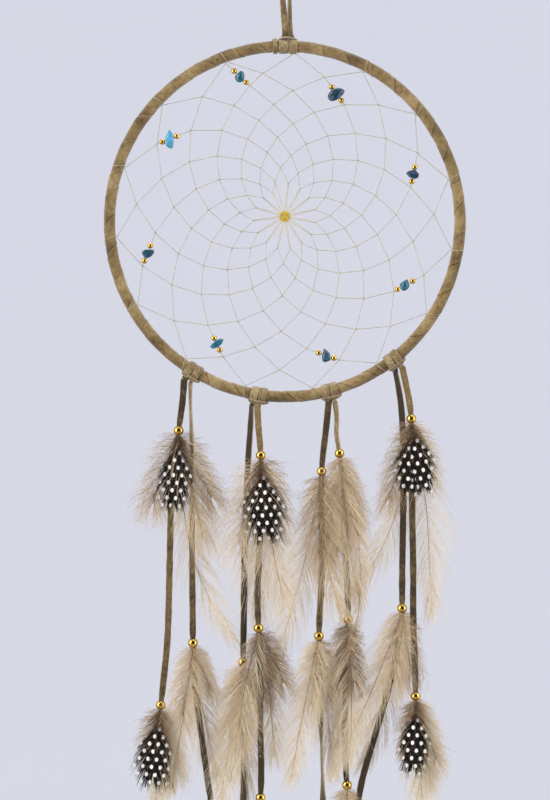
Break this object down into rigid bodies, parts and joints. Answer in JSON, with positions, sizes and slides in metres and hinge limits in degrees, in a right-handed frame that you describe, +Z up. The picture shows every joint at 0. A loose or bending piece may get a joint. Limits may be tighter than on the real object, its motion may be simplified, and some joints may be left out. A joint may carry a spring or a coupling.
{
  "type": "dream catcher",
  "caption": "Suede-wrapped hoop with a looped sinew web, turquoise chips and gold beads, hung from a lace loop, with beaded suede tails and feathers below it.",
  "frame": {"origin": "where the inside of the hanging loop's top rests on its nail or hook", "axes": "+Z up, +Y into the wall behind, so the front faces -Y; +X is to the viewer's right"},
  "size_m": [0.1552, 0.0088, 0.4624],
  "materials": {
    "suede_wrap": "napped suede strip, matte",
    "suede_lace": "napped suede lace, matte",
    "ring_steel": "plain wire, hidden in the wrap",
    "sinew": "waxed artificial sinew",
    "turquoise": "tumbled and polished",
    "gold_bead": "polished gold plate",
    "down": "downy feather",
    "hackle": "long hackle feather",
    "spotted_feather": "dark guinea feather with white spots"
  },
  "bodies": {
    "hanger": {"hanging_loop": "suede_lace"},
    "hoop": {"hoop_ring": "ring_steel", "hoop_wrap": "suede_wrap", "hanger_knot": "suede_wrap", "sinew_web": "sinew", "lace_knot_1": "suede_lace", "lace_knot_2": "suede_lace", "lace_knot_3": "suede_lace", "lace_knot_4": "suede_lace"},
    "spacer_pair_1": {"spacer_beads_1": "gold_bead"},
    "chip_1": {"turquoise_chip_1": "turquoise"},
    "spacer_pair_2": {"spacer_beads_2": "gold_bead"},
    "chip_2": {"turquoise_chip_2": "turquoise"},
    "spacer_pair_3": {"spacer_beads_3": "gold_bead"},
    "chip_3": {"turquoise_chip_3": "turquoise"},
    "spacer_pair_4": {"spacer_beads_4": "gold_bead"},
    "chip_4": {"turquoise_chip_4": "turquoise"},
    "spacer_pair_5": {"spacer_beads_5": "gold_bead"},
    "chip_5": {"turquoise_chip_5": "turquoise"},
    "spacer_pair_6": {"spacer_beads_6": "gold_bead"},
    "chip_6": {"turquoise_chip_6": "turquoise"},
    "spacer_pair_7": {"spacer_beads_7": "gold_bead"},
    "chip_7": {"turquoise_chip_7": "turquoise"},
    "spacer_pair_8": {"spacer_beads_8": "gold_bead"},
    "chip_8": {"turquoise_chip_8": "turquoise"},
    "tail_1": {"lace_tail_1": "suede_lace", "tail_beads_1": "gold_bead", "fluff_1": "down", "hackles_1": "hackle", "spotted_feathers_1": "spotted_feather"},
    "tail_2": {"lace_tail_2": "suede_lace", "tail_beads_2": "gold_bead", "fluff_2": "down", "hackles_2": "hackle"},
    "tail_3": {"lace_tail_3": "suede_lace", "tail_beads_3": "gold_bead", "fluff_3": "down", "hackles_3": "hackle"},
    "tail_4": {"lace_tail_4": "suede_lace", "tail_beads_4": "gold_bead", "fluff_4": "down", "hackles_4": "hackle", "spotted_feathers_4": "spotted_feather"},
    "tail_5": {"lace_tail_5": "suede_lace", "tail_beads_5": "gold_bead", "fluff_5": "down", "hackles_5": "hackle"},
    "tail_6": {"lace_tail_6": "suede_lace", "tail_beads_6": "gold_bead", "fluff_6": "down", "hackles_6": "hackle"},
    "tail_7": {"lace_tail_7": "suede_lace", "tail_beads_7": "gold_bead", "fluff_7": "down", "hackles_7": "hackle"},
    "tail_8": {"lace_tail_8": "suede_lace", "tail_beads_8": "gold_bead", "fluff_8": "down", "hackles_8": "hackle", "spotted_feathers_8": "spotted_feather"}
  },
  "joints": [
    {"name": "hoop_turn", "type": "hinge", "parent": "hanger", "child": "hoop", "pos_m": [0, 0, -0.0531], "axis": [0, 0, 1], "range_deg": [-180, 180]},
    {"name": "charm_slide_1", "type": "slide", "parent": "hoop", "child": "spacer_pair_1", "axis": [0.7364, 0.0341, -0.6757], "range_m": [-0.0029, 0.0001]},
    {"name": "chip_spin_1", "type": "hinge", "parent": "spacer_pair_1", "child": "chip_1", "pos_m": [-0.01909, 0.00005, -0.07223], "axis": [0.7364, 0.0341, -0.6757], "continuous": true},
    {"name": "charm_slide_2", "type": "slide", "parent": "hoop", "child": "spacer_pair_2", "axis": [0.5812, 0.0331, -0.8131], "range_m": [-0.0031, 0.0002]},
    {"name": "chip_spin_2", "type": "hinge", "parent": "spacer_pair_2", "child": "chip_2", "pos_m": [0.02211, 0.00005, -0.07953], "axis": [0.5812, 0.0331, -0.8131], "continuous": true},
    {"name": "charm_slide_3", "type": "slide", "parent": "hoop", "child": "spacer_pair_3", "axis": [-0.2046, 0.0322, -0.9783], "range_m": [-0.004, 0.0005]},
    {"name": "chip_spin_3", "type": "hinge", "parent": "spacer_pair_3", "child": "chip_3", "pos_m": [0.05498, 0.00006, -0.11401], "axis": [-0.2046, 0.0322, -0.9783], "continuous": true},
    {"name": "charm_slide_4", "type": "slide", "parent": "hoop", "child": "spacer_pair_4", "axis": [-0.8768, 0.0327, -0.4797], "range_m": [-0.0034, 0]},
    {"name": "chip_spin_4", "type": "hinge", "parent": "spacer_pair_4", "child": "chip_4", "pos_m": [0.0515, 0.00006, -0.16145], "axis": [-0.8768, 0.0327, -0.4797], "continuous": true},
    {"name": "charm_slide_5", "type": "slide", "parent": "hoop", "child": "spacer_pair_5", "axis": [-0.9431, 0.0327, 0.3309], "range_m": [-0.0002, 0.0034]},
    {"name": "chip_spin_5", "type": "hinge", "parent": "spacer_pair_5", "child": "chip_5", "pos_m": [0.01774, -0.00005, -0.19155], "axis": [-0.9431, 0.0327, 0.3309], "continuous": true},
    {"name": "charm_slide_6", "type": "slide", "parent": "hoop", "child": "spacer_pair_6", "axis": [-0.4322, 0.0322, 0.9012], "range_m": [-0.0011, 0.0041]},
    {"name": "chip_spin_6", "type": "hinge", "parent": "spacer_pair_6", "child": "chip_6", "pos_m": [-0.02904, -0.00005, -0.18666], "axis": [-0.4322, 0.0322, 0.9012], "continuous": true},
    {"name": "charm_slide_7", "type": "slide", "parent": "hoop", "child": "spacer_pair_7", "axis": [0.3617, 0.0317, 0.9318], "range_m": [-0.0002, 0.0038]},
    {"name": "chip_spin_7", "type": "hinge", "parent": "spacer_pair_7", "child": "chip_7", "pos_m": [-0.05879, -0.00006, -0.14779], "axis": [0.3617, 0.0317, 0.9318], "continuous": true},
    {"name": "charm_slide_8", "type": "slide", "parent": "hoop", "child": "spacer_pair_8", "axis": [0.9269, 0.0307, 0.3739], "range_m": [-0.0004, 0.0045]},
    {"name": "chip_spin_8", "type": "hinge", "parent": "spacer_pair_8", "child": "chip_8", "pos_m": [-0.04934, -0.00006, -0.09892], "axis": [0.9269, 0.0307, 0.3739], "continuous": true},
    {"name": "tail_swing_1", "type": "hinge", "parent": "hoop", "child": "tail_1", "pos_m": [-0.0431, 0, -0.2016], "axis": [1, 0, 0], "range_deg": [-40, 40]},
    {"name": "tail_swing_2", "type": "hinge", "parent": "hoop", "child": "tail_2", "pos_m": [-0.04035, 0, -0.20328], "axis": [1, 0, 0], "range_deg": [-40, 40]},
    {"name": "tail_swing_3", "type": "hinge", "parent": "hoop", "child": "tail_3", "pos_m": [-0.01425, 0.0006, -0.21292], "axis": [1, 0, 0], "range_deg": [-40, 40]},
    {"name": "tail_swing_4", "type": "hinge", "parent": "hoop", "child": "tail_4", "pos_m": [-0.0117, -0.0004, -0.21334], "axis": [1, 0, 0], "range_deg": [-40, 40]},
    {"name": "tail_swing_5", "type": "hinge", "parent": "hoop", "child": "tail_5", "pos_m": [0.0187, 0, -0.21198], "axis": [1, 0, 0], "range_deg": [-40, 40]},
    {"name": "tail_swing_6", "type": "hinge", "parent": "hoop", "child": "tail_6", "pos_m": [0.0215, 0, -0.21126], "axis": [1, 0, 0], "range_deg": [-40, 40]},
    {"name": "tail_swing_7", "type": "hinge", "parent": "hoop", "child": "tail_7", "pos_m": [0.0474, 0.0006, -0.19865], "axis": [1, 0, 0], "range_deg": [-40, 40]},
    {"name": "tail_swing_8", "type": "hinge", "parent": "hoop", "child": "tail_8", "pos_m": [0.0502, -0.0004, -0.19649], "axis": [1, 0, 0], "range_deg": [-40, 40]}
  ]
}
